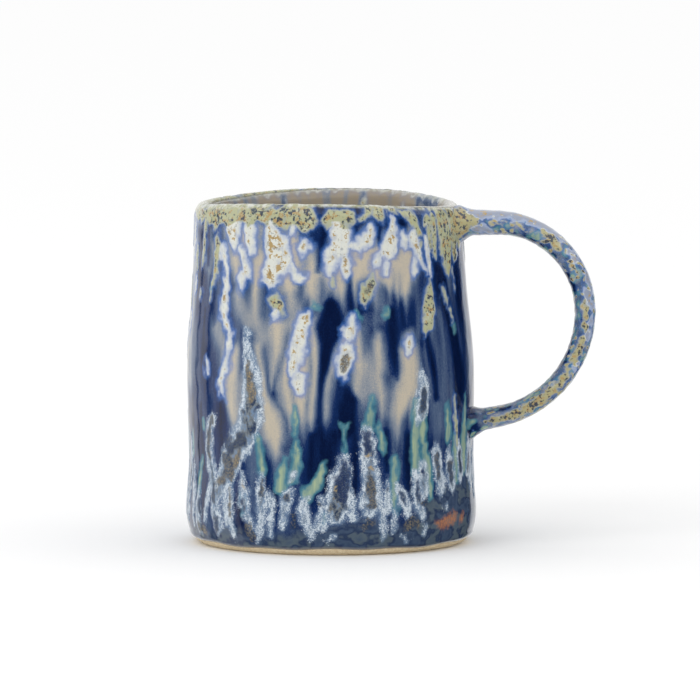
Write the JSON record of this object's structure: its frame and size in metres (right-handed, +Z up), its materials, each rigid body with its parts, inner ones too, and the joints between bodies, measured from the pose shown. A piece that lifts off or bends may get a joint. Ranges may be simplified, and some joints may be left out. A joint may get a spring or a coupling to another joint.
{
  "type": "ceramic mug",
  "caption": "Hand-built stoneware mug with a wavy lip, a strap handle luted on at both ends and a runny reactive glaze over a bare clay foot.",
  "frame": {"origin": "centre of the foot ring, on the plane that the mug stands on", "axes": "+Z up, +X from the mug's axis towards the handle, -Y the front, which is a plain side of the mug"},
  "size_m": [0.1238, 0.0882, 0.105],
  "materials": {
    "bare_stoneware": "bare fired buff clay, matt and slightly gritty",
    "outer_glaze": "glossy reactive glaze in navy, slate blue, tan and cream, with crystals near the foot",
    "liner_glaze": "glossy tan glaze, speckled cream and blue under the lip",
    "handle_glaze": "glossy lavender and blue glaze with olive speckles"
  },
  "bodies": {
    "root": {"wall": "bare_stoneware", "floor": "bare_stoneware", "handle": "bare_stoneware", "upper_joint": "bare_stoneware", "lower_joint": "bare_stoneware", "outer_glaze": "outer_glaze", "liner_glaze": "liner_glaze", "handle_glaze": "handle_glaze"}
  },
  "joints": []
}
